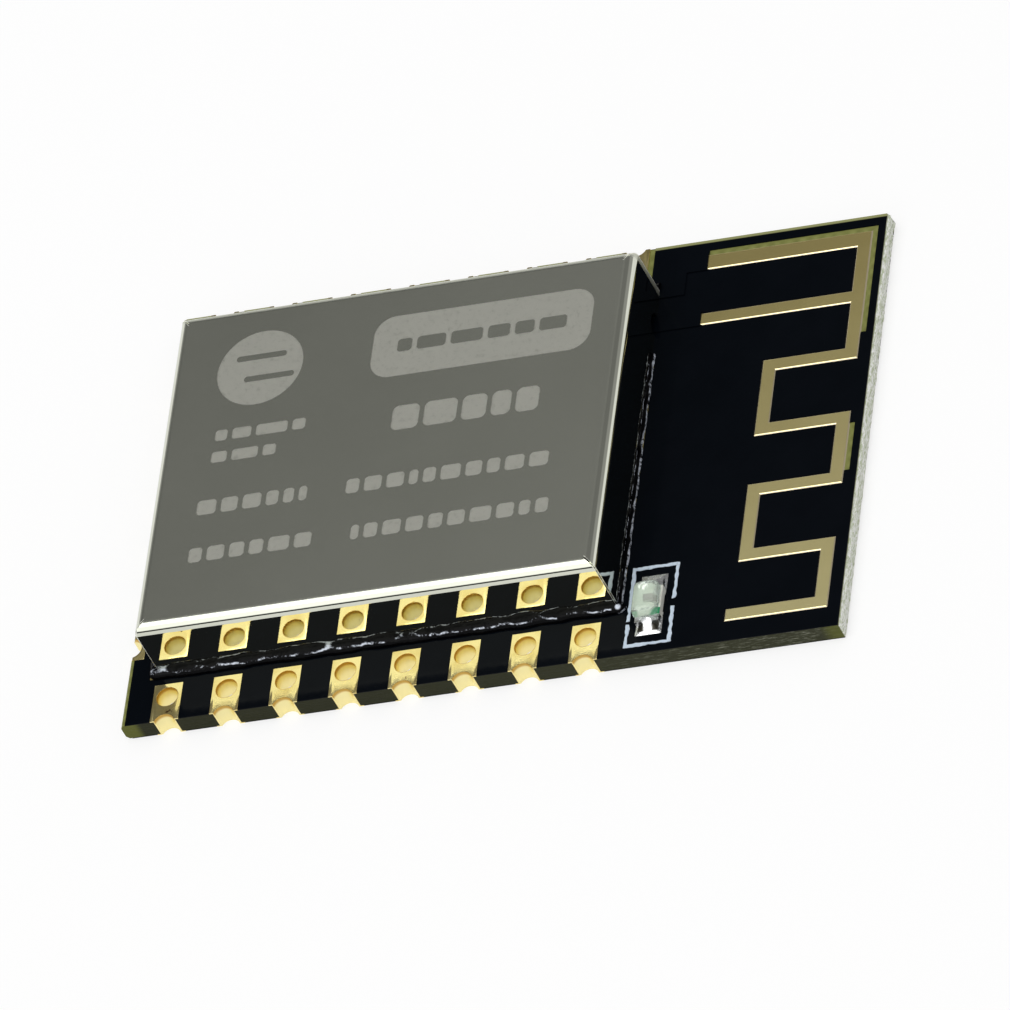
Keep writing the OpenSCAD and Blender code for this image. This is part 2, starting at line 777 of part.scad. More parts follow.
// Puts its children at one of the small parts, lying along +X
module at_small_part(part) {
    translate([can_x1 - part[1], can_mid + part[2], 0]) rotate(part[3]) children();
}

module small_part(part) {
    length = chip_l - 2 * chip_end_l;
    color(part[5]) on_board() at_small_part(part)
        translate([-length / 2, -chip_w / 2 + chip_skin, land_top + chip_skin])
            cube([length, chip_w - 2 * chip_skin, part[4] - 2 * chip_skin]);
}

module small_part_ends() {
    color("silver") on_board() for (part = SMALL_PARTS) at_small_part(part) for (side = [0, 1])
        rotate(180 * side) translate([chip_l / 2 - chip_end_l, -chip_w / 2, land_top])
            cube([chip_end_l, chip_w, part[4]]);
}

module inner_land_outlines() {
    radio_sides() translate([-radio_lead_w / 2, -radio_toe])
        square([radio_lead_w, radio_lead_l + radio_toe]);
    translate([radio_x, radio_y]) square(radio_paddle, center = true);
    memory_sides() translate([memory_span / 2 - memory_foot - memory_heel, -memory_land_w / 2])
        square([memory_foot + memory_heel + memory_toe, memory_land_w]);
    crystal_corners() square(crystal_land, center = true);
    for (part = SMALL_PARTS) at_small_part(part) for (side = [0, 1]) rotate(180 * side)
        translate([chip_l / 2 + chip_toe - chip_land_l, -chip_land_w / 2])
            square([chip_land_l, chip_land_w]);
}

module inner_lands() {
    color("gold") on_board() translate([0, 0, core_top]) linear_extrude(copper_t) inner_land_outlines();
}

module inner_solder() {
    color("silver") on_board() translate([0, 0, land_top]) {
        for (part = SMALL_PARTS) at_small_part(part) for (side = [0, 1]) rotate(180 * side)
            translate([chip_l / 2, 0, 0]) fillet(chip_toe, chip_fillet_h, chip_w);
        memory_sides() translate([memory_span / 2, 0, 0])
            fillet(memory_fillet_l, memory_lead_t, memory_lead_w);
    }
}

substrate();
solder_mask_top();
solder_mask_bottom();
for (i = [1:side_pads]) pad_front(i - 1);
for (i = [1:side_pads]) pad_rear(i - 1);
for (i = [1:end_pads]) pad_end(i - 1);
antenna_track();
shield_land();
shield_can();
shield_solder();
led_lands();
led_terminals();
led_base();
led_mark();
led_die();
led_lens();
led_solder();
printed_bracket();
radio_chip();
radio_chip_leads();
memory_chip();
memory_chip_leads();
crystal_base();
crystal_lid();
for (part = SMALL_PARTS) small_part(part);
small_part_ends();
inner_lands();
inner_solder();
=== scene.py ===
import math

import bmesh
import bpy
from mathutils import Matrix, Vector, noise


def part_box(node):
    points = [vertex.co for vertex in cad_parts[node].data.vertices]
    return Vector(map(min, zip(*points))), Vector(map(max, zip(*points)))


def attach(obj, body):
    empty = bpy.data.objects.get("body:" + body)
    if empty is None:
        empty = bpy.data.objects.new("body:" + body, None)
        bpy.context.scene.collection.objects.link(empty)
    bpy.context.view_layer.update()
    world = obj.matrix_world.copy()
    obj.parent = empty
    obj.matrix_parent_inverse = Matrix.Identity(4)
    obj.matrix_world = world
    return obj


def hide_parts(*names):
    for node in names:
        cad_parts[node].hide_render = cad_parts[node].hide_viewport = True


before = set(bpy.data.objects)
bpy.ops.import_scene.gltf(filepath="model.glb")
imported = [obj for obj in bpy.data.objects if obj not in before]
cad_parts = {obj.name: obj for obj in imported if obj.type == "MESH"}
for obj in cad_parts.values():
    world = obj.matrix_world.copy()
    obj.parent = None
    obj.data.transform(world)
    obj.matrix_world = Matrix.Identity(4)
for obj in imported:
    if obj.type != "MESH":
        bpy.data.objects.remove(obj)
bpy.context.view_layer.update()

mm = 0.001

# ---- Camera -------------------------------------------------------------------------------
# A long lens looks down on the module from its front right corner, and is turned so that the
# front pad row climbs to the right.
aim = Vector((0.1678, -1.4257, 0.7)) * mm
distance = 495.593 * mm
azimuth, elevation, roll = (math.radians(angle) for angle in (30.5425, 46.3358, -31.4194))
back = Vector((
    math.sin(azimuth) * math.cos(elevation),
    -math.cos(azimuth) * math.cos(elevation),
    math.sin(elevation),
))
camera = bpy.data.objects.new("camera", bpy.data.cameras.new("camera"))
bpy.context.scene.collection.objects.link(camera)
camera.matrix_world = (
    Matrix.Translation(aim + back * distance)
    @ (-back).to_track_quat("-Z", "Y").to_matrix().to_4x4()
    @ Matrix.Rotation(roll, 4, "Z")
)
camera.data.sensor_width = 36
camera.data.lens = 568.55
camera.data.clip_start = 0.05
camera.data.clip_end = 20
bpy.context.scene.camera = camera
bpy.context.scene.view_settings.view_transform = "Standard"


# ---- Studio -------------------------------------------------------------------------------
# A white table in a pale room, with one large soft lamp overhead. Gloss mirrors a bright box and
# wall in front, a dim wall behind and a grey card, which don't colour the light on the module.
def colour(red, green, blue):
    """A colour as painters' charts give it, 0 to 255, in the linear values that shaders use."""
    values = (channel / 255 for channel in (red, green, blue))
    return [v / 12.92 if v < 0.04045 else ((v + 0.055) / 1.055) ** 2.4 for v in values] + [1]


class Wire:
    """An output socket of a node tree. Arithmetic on it adds the nodes that work it out."""

    def __init__(self, tree, socket):
        self.tree = tree
        self.socket = socket

    def node(self, kind, settings=None, inputs=None, output=0):
        made = self.tree.nodes.new(kind)
        for name, value in (settings or {}).items():
            setattr(made, name, value)
        for name, value in (inputs or {}).items():
            self.feed(made.inputs[name], value)
        return Wire(self.tree, made.outputs[output])

    def feed(self, socket, value):
        if isinstance(value, Wire):
            self.tree.links.new(value.socket, socket)
        else:
            socket.default_value = value

    def math(self, operation, *terms):
        inputs = dict(enumerate((self, *terms)))
        return self.node("ShaderNodeMath", {"operation": operation}, inputs)

    def __add__(self, other):
        return self.math("ADD", other)

    def __radd__(self, other):
        return self.math("ADD", other)

    def __sub__(self, other):
        return self.math("SUBTRACT", other)

    def __rsub__(self, other):
        return self.math("MULTIPLY_ADD", -1, other)

    def __mul__(self, other):
        return self.math("MULTIPLY", other)

    def __rmul__(self, other):
        return self.math("MULTIPLY", other)

    def __truediv__(self, other):
        return self.math("DIVIDE", other)

    def __abs__(self):
        return self.math("ABSOLUTE")

    def larger(self, other):
        return self.math("MAXIMUM", other)

    def smaller(self, other):
        return self.math("MINIMUM", other)

    def between(self, low, high):
        """0 below low, 1 above high, and smooth between them."""
        return self.node(
            "ShaderNodeMapRange",
            {"interpolation_type": "SMOOTHSTEP"},
            {"Value": self, "From Min": low, "From Max": high},
        )

    def mix(self, first, second):
        """The first colour where this wire is 0 and the second where it is 1."""
        return self.node(
            "ShaderNodeMix", {"data_type": "RGBA"}, {0: self, 6: first, 7: second}, 2
        )

    def stretched(self, x, y, z):
        return self.node(
            "ShaderNodeVectorMath", {"operation": "MULTIPLY"}, {0: self, 1: (x, y, z)}
        )

    def split(self):
        """The wires of a place's x, y and z."""
        return [self.node("ShaderNodeSeparateXYZ", None, {0: self}, i) for i in range(3)]

    def dot(self, way):
        """How far a place lies along a way."""
        return self.node(
            "ShaderNodeVectorMath", {"operation": "DOT_PRODUCT"}, {0: self, 1: tuple(way)}, 1
        )

    def root(self):
        return self.math("SQRT")

    def grain(self, scale, detail=2, roughness=0.5):
        """Soft noise around 0.5, with this many lumps to the millimetre."""
        return self.node(
            "ShaderNodeTexNoise",
            None,
            {"Vector": self, "Scale": scale, "Detail": detail, "Roughness": roughness},
        )

    def bumps(self, depth):
        """A normal for this height, with depth in millimetres."""
        return self.node(
            "ShaderNodeBump", None, {"Height": self, "Distance": depth * mm, "Strength": 1.0}
        )


def new_material(name):
    """A material, and a wire to the place on the part in millimetres."""
    material = bpy.data.materials.new(name)
    material.use_nodes = True
    tree = material.node_tree
    place = Wire(tree, tree.nodes.new("ShaderNodeTexCoord").outputs["Object"])
    return material, place.stretched(1 / mm, 1 / mm, 1 / mm)


def finish_with(place, values):
    """Gives the shader's sockets these wires and numbers."""
    shader = place.tree.nodes["Principled BSDF"]
    for name, value in values.items():
        place.feed(shader.inputs[name], value)


def seen_in(tree, *kinds):
    """1 for rays of these kinds and 0 for the light that falls on things."""
    path = tree.nodes.new("ShaderNodeLightPath")
    wires = [Wire(tree, path.outputs[kind]) for kind in kinds]
    total = wires[0]
    for wire in wires[1:]:
        total = total.larger(wire)
    return total


world = bpy.data.worlds.new("room")
world.use_nodes = True
bpy.context.scene.world = world
room = world.node_tree
sky = room.nodes["Background"]
sky.inputs["Color"].default_value = (1, 1, 1, 1)
way = Wire(room, room.nodes.new("ShaderNodeTexCoord").outputs["Generated"])
x, y, z = way.split()
box_way, box_level = (-0.351, -0.595, 0.7235), 0.45
front_box = way.dot(box_way).between(0.8, 0.9) * box_level
front_wall = z.between(0.2, 0.34) * 0.95 + 0.05 + front_box
rear_wall = 1 - z.between(0.1, 0.3) * 0.66 - z.between(0.55, 0.68) * 0.15
in_front = (0 - y).between(-0.1, 0.1)
gloss = in_front * front_wall + (1 - in_front) * rear_wall
room_light = 0.55
plain = seen_in(room, "Is Camera Ray", "Is Transmission Ray")
shiny = seen_in(room, "Is Glossy Ray")
plain.feed(
    sky.inputs["Strength"],
    plain + shiny * gloss + (1 - plain) * (1 - shiny) * room_light,
)

lamp = bpy.data.objects.new("soft_lamp", bpy.data.lights.new("soft_lamp", "AREA"))
bpy.context.scene.collection.objects.link(lamp)
lamp.data.shape = "RECTANGLE"
lamp.data.size, lamp.data.size_y = 0.5, 0.5
lamp.data.energy = 1.5
lamp.matrix_world = (
    Matrix.Translation((-0.1, -0.08, 0.6)) @ Matrix.Rotation(math.radians(-8), 4, "X")
)


def add_stage(name, bm, material):
    """A piece of the studio, which isn't part of the module."""
    mesh = bpy.data.meshes.new(name)
    bm.to_mesh(mesh)
    bm.free()
    mesh.materials.append(material)
    thing = bpy.data.objects.new(name, mesh)
    bpy.context.scene.collection.objects.link(thing)
    return thing


white_table, place = new_material("white_table")
tree = white_table.node_tree
glow = tree.nodes.new("ShaderNodeEmission")
blend = tree.nodes.new("ShaderNodeMixShader")
clear = tree.nodes.new("ShaderNodeBsdfTransparent")
sides = tree.nodes.new("ShaderNodeMixShader")
seen_share, mirrored_share = 0.62, 0.5
finish_with(place, {"Base Color": colour(232, 232, 232), "Roughness": 0.9})
glow.inputs["Strength"].default_value = 1.16
seen, mirrored = seen_in(tree, "Is Camera Ray"), seen_in(tree, "Is Glossy Ray")
place.feed(blend.inputs[0], seen * seen_share + mirrored * mirrored_share)
tree.links.new(tree.nodes["Principled BSDF"].outputs[0], blend.inputs[1])
tree.links.new(glow.outputs[0], blend.inputs[2])
under = Wire(tree, tree.nodes.new("ShaderNodeNewGeometry").outputs["Backfacing"])
place.feed(sides.inputs[0], under)
tree.links.new(blend.outputs[0], sides.inputs[1])
tree.links.new(clear.outputs[0], sides.inputs[2])
tree.links.new(sides.outputs[0], tree.nodes["Material Output"].inputs["Surface"])
bm = bmesh.new()
bmesh.ops.create_grid(bm, x_segments=1, y_segments=1, size=3)
add_stage("table", bm, white_table)

grey_card, place = new_material("grey_card")
tree = grey_card.node_tree
glow = tree.nodes.new("ShaderNodeEmission")
tree.links.new(glow.outputs[0], tree.nodes["Material Output"].inputs["Surface"])
card_way = Vector((-0.351, 0.595, 0.7235))
card_distance, card_half, card_level = 0.25, 0.125, 0.135
paler_way = Vector((0.635, -0.416, 0.65))
along = place.dot(paler_way)
slope = (along / 10).larger(0).smaller(1) * 0.12 - along.between(20, 40) * 0.08
place.feed(glow.inputs["Strength"], slope + card_level)
bm = bmesh.new()
bmesh.ops.create_circle(bm, cap_ends=True, segments=64, radius=card_half)
bm.transform(
    Matrix.Translation(card_way * card_distance)
    @ card_way.to_track_quat("Z", "Y").to_matrix().to_4x4()
)
card = add_stage("card", bm, grey_card)
card.visible_camera = False
card.visible_diffuse = False
card.visible_shadow = False
card.visible_transmission = False


# ---- Board core ---------------------------------------------------------------------------
# The core is woven glass in olive epoxy. Its long sides are routed smooth, and their dark colour
# is painted shade, lightening towards the right end. Its short ends were scored and snapped, which
# leaves pale broken fibres.
def dress(material, slot, *names):
    """Gives CAD nodes their material. The slot is not used."""
    for name in names:
        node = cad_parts[name]
        node.data.materials.clear()
        node.data.materials.append(material)


def add_piece(name, bm, material, nodes):
    """A finished piece that stands for its CAD nodes."""
    mesh = bpy.data.meshes.new(name)
    bm.to_mesh(mesh)
    bm.free()
    mesh.materials.append(material)
    piece = bpy.data.objects.new(name, mesh)
    bpy.context.scene.collection.objects.link(piece)
    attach(piece, "root")
    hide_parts(*nodes)
    return piece


def cad_copy(name):
    """A merged copy of a CAD node's mesh, in millimetres."""
    bm = bmesh.new()
    bm.from_mesh(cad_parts[name].data)
    bm.transform(Matrix.Scale(1 / mm, 4))
    bmesh.ops.remove_doubles(bm, verts=bm.verts, dist=1e-4)
    return bm


def sliced(bm, way, places, keep):
    """Cuts the faces that keep picks at each place along a way."""
    for place in places:
        faces = [f for f in bm.faces if keep(f.calc_center_median())]
        edges = {e for f in faces for e in f.edges}
        verts = {v for f in faces for v in f.verts}
        bmesh.ops.bisect_plane(
            bm, geom=[*faces, *edges, *verts], plane_co=Vector(way) * place, plane_no=way, dist=1e-6
        )


def weave(place):
    """Height of the woven glass bundles, 0 to 1."""
    bundle_pitch = 0.42
    x, y, z = place.split()
    turn = 2 * math.pi / bundle_pitch
    return (x * turn).math("SINE") * (y * turn).math("SINE") * 0.5 + 0.5


core_low, core_high = (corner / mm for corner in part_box("substrate"))
snap_depth, snap_pitch, broken_depth, ply_t = 0.16, 0.12, 0.06, 0.07
bm = cad_copy("substrate")
sliced(bm, (1, 0, 0), [core_high.x - snap_depth], lambda middle: True)
cuts = round((core_high.y - core_low.y) / snap_pitch)
at_snap = core_high.x - snap_depth
sliced(
    bm, (0, 1, 0), [core_low.y + snap_pitch * i for i in range(1, cuts)],
    lambda middle: middle.x > at_snap,
)
sliced(
    bm, (0, 0, 1), [ply_t * i for i in range(3, 8)],
    lambda middle: middle.x > core_high.x - 1e-4,
)
for vert in bm.verts:
    if vert.co.x > core_high.x - 1e-4:
        place = Vector((vert.co.y * 5, vert.co.z * 9, 0))
        vert.co.x -= broken_depth * min(1, abs(noise.noise(place)) * 2)
    elif vert.co.x > at_snap + 1e-4:
        vert.co.x -= broken_depth * 0.5 * abs(noise.noise(vert.co * 6))
bm.transform(Matrix.Scale(mm, 4))

glass_epoxy, place = new_material("glass_epoxy")
x, y, z = place.split()
fibres = place.stretched(1, 1, 7).grain(3.2, 4, 0.65)
flecks = place.stretched(1, 1, 4).grain(9, 2, 0.6)
streaks = place.stretched(1, 0.4, 3).grain(7, 3, 0.7)
resin = (weave(place) * 0.35 + fibres * 0.65).mix(colour(98, 100, 44), colour(148, 152, 88))
# Painted shade: the long sides are darker than the resin, and lighter towards the right end.
shaded_side = x.between(-4, 9).mix(colour(42, 44, 20), colour(54, 56, 34))
mottled = (fibres.between(0.5, 0.72) * x.between(2, 10)).mix(shaded_side, colour(138, 140, 122))
olive_end = (0 - x).between(11.3, 11.6) + x.between(11.2, 11.7) * (fibres * 0.5 + 0.5)
routed = olive_end.mix(mottled, colour(104, 108, 46))
snapped = (streaks * 0.6 + flecks * 0.4).between(0.4, 0.58).mix(
    colour(192, 202, 168), colour(255, 255, 252)
)
at_side = abs(y).between(core_high.y - 0.02, core_high.y - 0.005)
at_end = x.between(core_high.x - 0.1, core_high.x - 0.06)
finish_with(place, {
    "Base Color": at_end.mix(at_side.mix(resin, routed), snapped),
    "Roughness": fibres * 0.3 + 0.42,
    "Normal": (flecks + fibres).bumps(0.012),
    "Specular IOR Level": 0.15,
})
add_piece("drilled_core", bm, glass_epoxy, ["substrate"])

# ---- Black solder mask --------------------------------------------------------------------
# A thin glossy lacquer is printed over the core and the etched copper on both faces. The
# glass weave under it shows as a faint ripple in its gloss, and it wears thin at the rear rim.
black_mask, place = new_material("black_mask")
dust = place.grain(24, 2).between(0.66, 0.74)
x, y, z = place.split()
thin_rim = y.between(core_high.y - 0.12, core_high.y - 0.08)
lacquer = place.grain(0.7).mix(colour(3, 6, 11), colour(9, 13, 19))
finish_with(place, {
    "Base Color": thin_rim.mix(lacquer, colour(150, 152, 104)),
    "Roughness": place.grain(3) * 0.1 + dust * 0.25 + 0.07,
    "Normal": (weave(place) * 0.4 + place.grain(1.6) * 0.6).bumps(0.001),
    "Specular IOR Level": 0.06,
})
dress(black_mask, "solder_mask", "solder_mask_top", "solder_mask_bottom")

# ---- Antenna ------------------------------------------------------------------------------
# The meander is etched copper with a gold flash, left bare in its mask window. Its rims are
# rounded by the etch, and it is duller than the pads, with fine rolling marks. Its gold is painted
# paler towards the front as painted light, and its rims pale cream as a painted highlight.
def sharpened(bm, angle=35):
    """Smooth faces, with the edges above this angle kept sharp."""
    for face in bm.faces:
        face.smooth = True
    for edge in bm.edges:
        edge.smooth = edge.is_manifold and edge.calc_face_angle(0) < math.radians(angle)
    return bm


def even_normals(piece):
    """Keeps flat faces flat beside small rounded edges."""
    piece.modifiers.new("normals", "WEIGHTED_NORMAL").keep_sharp = True


def rounded_rims(bm, height, offset, segments):
    """Rounds the edges of the flat top at this height."""
    rims = [
        e for e in bm.edges
        if e.is_manifold and e.calc_face_angle(0) > 0.6
        and all(v.co.z > height - 1e-3 for v in e.verts)
    ]
    bmesh.ops.bevel(
        bm, geom=rims, offset=offset, offset_type="OFFSET", segments=segments, profile=0.5,
        affect="EDGES", clamp_overlap=True, material=-1,
    )


copper_t, land_top = 0.04, 0.7
etched_rim = 0.022
bm = cad_copy("antenna_track")
bmesh.ops.dissolve_limit(bm, angle_limit=math.radians(2), verts=bm.verts, edges=bm.edges)
rounded_rims(bm, land_top, etched_rim, 3)
bm.transform(Matrix.Scale(mm, 4))
antenna_gold, place = new_material("antenna_gold")
x, y, z = place.split()
tarnish = place.grain(0.8, 3)
rolling = place.stretched(0.8, 5, 1).grain(4, 2)
# Painted light: the gold grows paler towards the front, mottled by tarnish.
frontward = (y / -14 + 0.5 + tarnish * 0.3 - 0.15).larger(0).smaller(1)
face = frontward.mix(colour(222, 204, 134), colour(255, 242, 176))
# Painted highlight: the rounded rims are painted pale cream.
rim = 1 - z.between(land_top - 0.012, land_top - 0.002)
finish_with(place, {
    "Base Color": rim.mix(face, colour(224, 210, 176)),
    "Metallic": 0.86 - frontward * 0.1,
    "Roughness": rolling * 0.05 + tarnish * 0.08 + 0.13,
    "Normal": (rolling * 0.3 + place.grain(14) * 0.7).bumps(0.0006),
})
even_normals(add_piece(
    "meander_track", sharpened(bm, 25), antenna_gold, ["antenna_track"]
))


# ---- Edge pads ----------------------------------------------------------------------------
# Each pad is gold on copper: a land on both faces, joined by plating down the walls of a whole
# hole and of a half hole that the board's edge cuts. The short end's pads have half holes only.
def combined(base, tool, operation):
    """The base mesh united with, cut by or kept inside the tool."""
    made = []
    for part in (base, tool):
        mesh = bpy.data.meshes.new("part")
        part.to_mesh(mesh)
        part.free()
        made.append(bpy.data.objects.new("part", mesh))
        bpy.context.scene.collection.objects.link(made[-1])
    cut = made[0].modifiers.new("cut", "BOOLEAN")
    cut.operation, cut.object, cut.solver, cut.use_self = operation, made[1], "EXACT", True
    bpy.context.view_layer.update()
    result = bmesh.new()
    result.from_mesh(made[0].evaluated_get(bpy.context.evaluated_depsgraph_get()).data)
    for thing in made:
        bpy.data.meshes.remove(thing.data)
    return result


def block(bm, low, high):
    """Adds a box between two corners."""
    size = [b - a for a, b in zip(low, high)]
    middle = [(a + b) / 2 for a, b in zip(low, high)]
    matrix = Matrix.Translation(middle) @ Matrix.Diagonal((*size, 1))
    return bmesh.ops.create_cube(bm, size=1, matrix=matrix)["verts"]


def rod(bm, x, y, low, high, foot_r, head_r):
    """Adds an upright cylinder or cone."""
    bmesh.ops.create_cone(
        bm, cap_ends=True, segments=64, radius1=foot_r, radius2=head_r,
        depth=high - low, matrix=Matrix.Translation((x, y, (low + high) / 2)),
    )


pad_w, pad_l, pitch, pad_rim = 0.95, 1.4, 2, 0.012
plating_r, bore_r, bore_foot_r = 0.39, 0.36, 0.325
hole_in, half_hole_out = 0.9, 0.14
end_pad_inset, end_pad_l = 0.09, 0.5
wall_low, wall_high = 0.15, 0.55
first_side_pad, first_end_pad = -10.5, -5


def pad_shape(front, length, holes):
    """A plated pad in millimetres, with the board's edge along X and +Y inward."""
    lands = bmesh.new()
    for low in (0, land_top - copper_t):
        block(lands, (-pad_w / 2, front, low), (pad_w / 2, length, low + copper_t))
    for hole in holes:
        rod(lands, 0, hole, 0, land_top, plating_r, plating_r)
    envelope = bmesh.new()
    outline = [(0, 0), (0, land_top)]
    if front:
        outline = [
            (front, 0), (front, copper_t), (0, wall_low),
            (0, wall_high), (front, land_top - copper_t), (front, land_top),
        ]
    outline += [(length, land_top), (length, 0)]
    corners = [envelope.verts.new((-pad_w / 2, y, z)) for y, z in outline]
    side = envelope.faces.new(corners)
    grown = bmesh.ops.extrude_face_region(envelope, geom=[side])["geom"]
    bmesh.ops.translate(
        envelope, verts=[v for v in grown if isinstance(v, bmesh.types.BMVert)], vec=(pad_w, 0, 0)
    )
    bmesh.ops.recalc_face_normals(envelope, faces=envelope.faces)
    drills = bmesh.new()
    for hole in holes:
        rod(drills, 0, hole, -0.1, land_top + 0.1, bore_foot_r, bore_r)
    shape = combined(combined(lands, envelope, "INTERSECT"), drills, "DIFFERENCE")
    bmesh.ops.remove_doubles(shape, verts=shape.verts, dist=1e-5)
    rounded_rims(shape, land_top, pad_rim, 2)
    return shape


pad_gold, place = new_material("pad_gold")
x, y, z = place.split()


def to_row(along, first):
    """Distance along a row to its nearest pad."""
    steps = (along - first) / pitch + 0.5
    return (steps.math("FRACT") - 0.5) * pitch


def apart(dx, dy):
    """The distance that these two steps make."""
    return (dx * dx + dy * dy).root()


along_side, along_end = to_row(x, first_side_pad), to_row(y, first_end_pad)
from_bore = apart(along_side, abs(y) - (core_high.y - hole_in))
from_bore = from_bore.smaller(apart(along_side, abs(y) - (core_high.y + half_hole_out)))
from_bore = from_bore.smaller(apart(along_end, x - core_low.x))
in_bore = 1 - from_bore.between(bore_r + 0.004, bore_r + 0.014)
stain = place.grain(1.3, 3, 0.6)
spots = place.grain(2.3, 2).between(0.73, 0.76)
land = stain.between(0.35, 0.75).mix(colour(253, 236, 168), colour(240, 216, 140))
# Painted shade: the bore walls are painted darker near the mouth of each hole.
barrel = (z - 0.04 * stain).between(0.5, 0.62).mix(colour(255, 242, 178), colour(206, 166, 86))
finish_with(place, {
    "Base Color": spots.mix(in_bore.mix(land, barrel), colour(120, 78, 34)),
    "Metallic": 1.0,
    "Roughness": stain * 0.12 + place.grain(20) * 0.06 + in_bore * 0.2 + 0.08,
    "Normal": (place.grain(7) * 0.6 + place.grain(26) * 0.4).bumps(0.0015),
})
side_shape = pad_shape(0, pad_l, (-half_hole_out, hole_in))
end_shape = pad_shape(end_pad_inset, end_pad_l, (0,))


def plate(name, shape, turn):
    """Puts a pad shape where its CAD node is."""
    low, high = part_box(name)
    spin = Matrix.Rotation(math.radians(turn), 4, "Z")
    inward = spin @ Vector((0, 1, 0))
    edge = Vector((
        low.x if inward.x > 0.5 else (low.x + high.x) / 2,
        low.y if inward.y > 0.5 else high.y if inward.y < -0.5 else (low.y + high.y) / 2,
        0,
    ))
    pad = shape.copy()
    pad.transform(Matrix.Translation(edge) @ spin @ Matrix.Scale(mm, 4))
    even_normals(add_piece(name + "_plating", sharpened(pad), pad_gold, [name]))


for name in sorted(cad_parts):
    if name.startswith("pad_front_"):
        plate(name, side_shape, 0)
    elif name.startswith("pad_rear_"):
        plate(name, side_shape, 180)
    elif name.startswith("pad_end_"):
        plate(name, end_shape, -90)
dress(pad_gold, "pad_gold", "shield_land", "inner_lands")

# ---- Shield can ---------------------------------------------------------------------------
# One sheet of nickel silver is stamped, folded down on four sides and soldered at its foot.
# Each corner is a mitred slit, whose cut edges are painted white as a painted highlight. The top
# carries plain marks that a laser dulled.
can_low, can_high = (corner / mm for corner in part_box("shield_can"))
sheet_t, fold_r = 0.15, 0.34
slit = 0.04 * math.sqrt(0.5)
fold_steps = 12
bm = bmesh.new()
block(bm, can_low, can_high)
floor_faces = [f for f in bm.faces if f.normal.z < -0.5]
bmesh.ops.delete(bm, geom=floor_faces, context="FACES_ONLY")
top_edges = [e for e in bm.edges if all(v.co.z > can_high.z - 1e-4 for v in e.verts)]
bmesh.ops.bevel(
    bm, geom=top_edges, offset=fold_r, offset_type="OFFSET", segments=fold_steps, profile=0.5,
    affect="EDGES", clamp_overlap=True, material=-1,
)
top_face = max(bm.faces, key=lambda f: f.calc_area() if f.normal.z > 0.99 else 0)
for sx, x in ((1, can_low.x), (-1, can_high.x)):
    for sy, y in ((1, can_low.y), (-1, can_high.y)):
        across = Vector((sx, -sy, 0)).normalized()
        corner = Vector((x, y, 0))
        reach = fold_r * math.sqrt(2) + 0.02
        for side in (-1, 1):
            near = [
                f for f in bm.faces
                if f is not top_face and any((v.co.xy - corner.xy).length < reach for v in f.verts)
            ]
            edges = {e for f in near for e in f.edges}
            verts = {v for f in near for v in f.verts}
            bmesh.ops.bisect_plane(
                bm, geom=[*near, *edges, *verts], plane_co=corner + across * slit * side,
                plane_no=across, dist=1e-6,
            )
        strip = [
            f for f in bm.faces
            if f is not top_face
            and abs((f.calc_center_median() - corner).dot(across)) < slit
            and (f.calc_center_median().xy - corner.xy).length < reach
        ]
        bmesh.ops.delete(bm, geom=strip, context="FACES")
bmesh.ops.remove_doubles(bm, verts=bm.verts, dist=1e-5)
bmesh.ops.recalc_face_normals(bm, faces=bm.faces)
if max(bm.faces, key=lambda f: f.calc_area()).normal.z < 0:
    bmesh.ops.reverse_faces(bm, faces=bm.faces)
bmesh.ops.solidify(bm, geom=bm.faces, thickness=sheet_t)
feed_y, feed_arch_r = 4.86, 0.4
tool = bmesh.new()
bmesh.ops.create_cone(
    tool, cap_ends=True, segments=48, radius1=feed_arch_r, radius2=feed_arch_r, depth=1,
    matrix=Matrix.Translation((can_high.x, feed_y, land_top)) @ Matrix.Rotation(math.pi / 2, 4, "Y"),
)
bm = combined(bm, tool, "DIFFERENCE")
bm.transform(Matrix.Scale(mm, 4))

nickel_silver, place = new_material("nickel_silver")
x, y, z = place.split()
soft = 0.025


def panel(x, y, centre, size, radius):
    """1 inside a rounded panel of the marks, with a soft edge."""
    dx = (abs(x - centre[0]) - (size[0] / 2 - radius)).larger(0)
    dy = (abs(y - centre[1]) - (size[1] / 2 - radius)).larger(0)
    return 1 - apart(dx, dy).between(radius - soft, radius + soft)


def dashes(x, y, start, stop, middle, height, pitch, seed):
    """A row of rounded dashes of uneven lengths between start and stop."""
    gap, radius = 0.17, height * 0.2 + 0.02
    cells = x.node(
        "ShaderNodeTexVoronoi",
        {"voronoi_dimensions": "1D", "feature": "DISTANCE_TO_EDGE"},
        {"W": x + seed, "Scale": 1 / pitch, "Randomness": 0.8},
    )
    inset = (cells * pitch - gap / 2).smaller(x - start).smaller(stop - x)
    rise = height / 2 - abs(y - middle)
    dx, dy = (radius - inset).larger(0), (radius - rise).larger(0)
    return 1 - apart(dx, dy).between(radius - soft, radius + soft)


